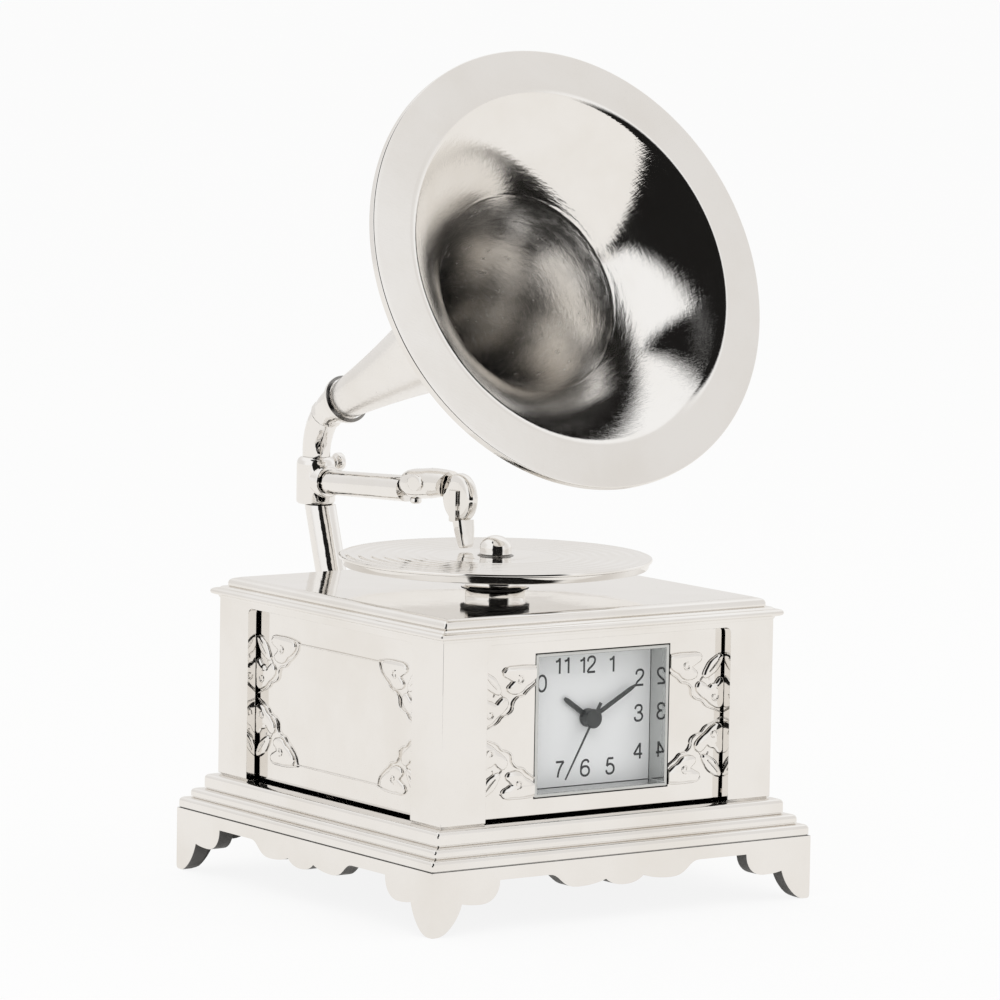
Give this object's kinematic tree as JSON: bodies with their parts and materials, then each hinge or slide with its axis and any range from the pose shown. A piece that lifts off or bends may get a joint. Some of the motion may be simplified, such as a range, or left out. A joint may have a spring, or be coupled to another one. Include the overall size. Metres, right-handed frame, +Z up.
{
  "type": "miniature gramophone clock",
  "caption": "Miniature gramophone table clock: square plated case on scrolled feet, rectangular quartz clock insert in front, turntable with record and a flared horn on a rear bracket",
  "frame": {"origin": "On the ground under the middle of the whole object, halfway between the front of the foot skirt and the back of the tee behind the case.", "axes": "+Z up; the dial and the horn mouth face -Y; +X is to the right seen from the front."},
  "size_m": [0.0506, 0.0638, 0.0927],
  "materials": {
    "nickel_plate": "bright polished silver-coloured plate, slightly warm",
    "steel": "plain steel",
    "wheel_brass": "satin brass",
    "hand_grey": "dark grey lacquer",
    "dial_white": "matt white dial",
    "crystal_glass": "clear flat glass",
    "black_plastic": "black moulded plastic",
    "white_plastic": "white moulded plastic",
    "coil_wire": "enamelled copper wire",
    "board_green": "green circuit board"
  },
  "bodies": {
    "case": {"foot_skirt": "nickel_plate", "base_moulding": "nickel_plate", "case_frame": "nickel_plate", "panel_front": "nickel_plate", "panel_back": "nickel_plate", "panel_left": "nickel_plate", "panel_right": "nickel_plate", "cornice": "nickel_plate", "top_plate": "nickel_plate", "pedestal": "nickel_plate", "bracket_plate": "nickel_plate", "bracket_post": "nickel_plate", "tee": "nickel_plate", "tee_screw": "nickel_plate", "elbow": "nickel_plate", "ferrule": "nickel_plate", "horn_collar": "nickel_plate", "horn": "nickel_plate", "tone_arm": "nickel_plate", "arm_block": "nickel_plate", "block_screw": "nickel_plate", "sound_box": "nickel_plate", "needle_bar": "nickel_plate", "needle_chuck": "nickel_plate", "base_cover": "black_plastic", "base_screw_1": "steel", "base_screw_2": "steel", "base_screw_3": "steel", "base_screw_4": "steel", "bracket_screw_1": "steel", "bracket_screw_2": "steel", "insert_sleeve": "black_plastic"},
    "turntable": {"platter": "nickel_plate", "record": "nickel_plate", "record_washer": "nickel_plate", "dome_nut": "nickel_plate", "spindle": "steel", "spindle_clip": "steel"},
    "clock_insert": {"bezel": "nickel_plate", "crystal": "crystal_glass", "dial": "dial_white", "main_plate": "black_plastic", "rear_bridge": "black_plastic", "stator": "steel", "coil": "coil_wire", "battery": "steel", "circuit_board": "board_green"},
    "second_arbor": {"second_hand": "hand_grey", "seconds_wheel": "wheel_brass"},
    "minute_arbor": {"minute_hand": "hand_grey", "cannon_pinion": "wheel_brass", "centre_wheel": "wheel_brass"},
    "hour_arbor": {"hour_hand": "hand_grey", "hour_wheel": "wheel_brass"},
    "motion_arbor": {"minute_wheel": "white_plastic"},
    "third_arbor": {"third_wheel": "wheel_brass"},
    "fifth_arbor": {"fifth_wheel": "white_plastic"},
    "rotor_arbor": {"rotor": "steel"},
    "setting_arbor": {"setting_knob": "white_plastic"}
  },
  "joints": [
    {"name": "turntable_spin", "type": "hinge", "parent": "case", "child": "turntable", "pos_m": [0, -0.0066, 0.034], "axis": [0, 0, 1], "continuous": true},
    {"name": "insert_slide", "type": "slide", "parent": "case", "child": "clock_insert", "axis": [0, -1, 0], "range_m": [0, 0.009]},
    {"name": "second_hand_spin", "type": "hinge", "parent": "clock_insert", "child": "second_arbor", "pos_m": [0, -0.02724, 0.02095], "axis": [0, 1, 0], "continuous": true},
    {"name": "minute_hand_spin", "type": "hinge", "parent": "clock_insert", "child": "minute_arbor", "pos_m": [0, -0.02724, 0.02095], "axis": [0, 1, 0], "continuous": true},
    {"name": "hour_hand_spin", "type": "hinge", "parent": "clock_insert", "child": "hour_arbor", "pos_m": [0, -0.02724, 0.02095], "axis": [0, 1, 0], "continuous": true},
    {"name": "minute_wheel_spin", "type": "hinge", "parent": "clock_insert", "child": "motion_arbor", "pos_m": [0.003, -0.02724, 0.02095], "axis": [0, 1, 0], "continuous": true},
    {"name": "third_wheel_spin", "type": "hinge", "parent": "clock_insert", "child": "third_arbor", "pos_m": [0, -0.02724, 0.02375], "axis": [0, 1, 0], "continuous": true},
    {"name": "fifth_wheel_spin", "type": "hinge", "parent": "clock_insert", "child": "fifth_arbor", "pos_m": [0.002, -0.02724, 0.01895], "axis": [0, 1, 0], "continuous": true},
    {"name": "rotor_spin", "type": "hinge", "parent": "clock_insert", "child": "rotor_arbor", "pos_m": [0.0038, -0.02724, 0.01895], "axis": [0, 1, 0], "continuous": true},
    {"name": "setting_knob_spin", "type": "hinge", "parent": "clock_insert", "child": "setting_arbor", "pos_m": [0.0045, -0.02724, 0.02355], "axis": [0, 1, 0], "continuous": true}
  ],
  "couplings": [
    {"joint": "minute_hand_spin", "follows": "second_hand_spin", "ratio": 0.016667},
    {"joint": "hour_hand_spin", "follows": "second_hand_spin", "ratio": 0.0013889},
    {"joint": "minute_wheel_spin", "follows": "second_hand_spin", "ratio": -0.0055556},
    {"joint": "third_wheel_spin", "follows": "second_hand_spin", "ratio": -0.13333},
    {"joint": "fifth_wheel_spin", "follows": "second_hand_spin", "ratio": -6},
    {"joint": "rotor_spin", "follows": "second_hand_spin", "ratio": 30},
    {"joint": "setting_knob_spin", "follows": "second_hand_spin", "ratio": 0.016667}
  ]
}
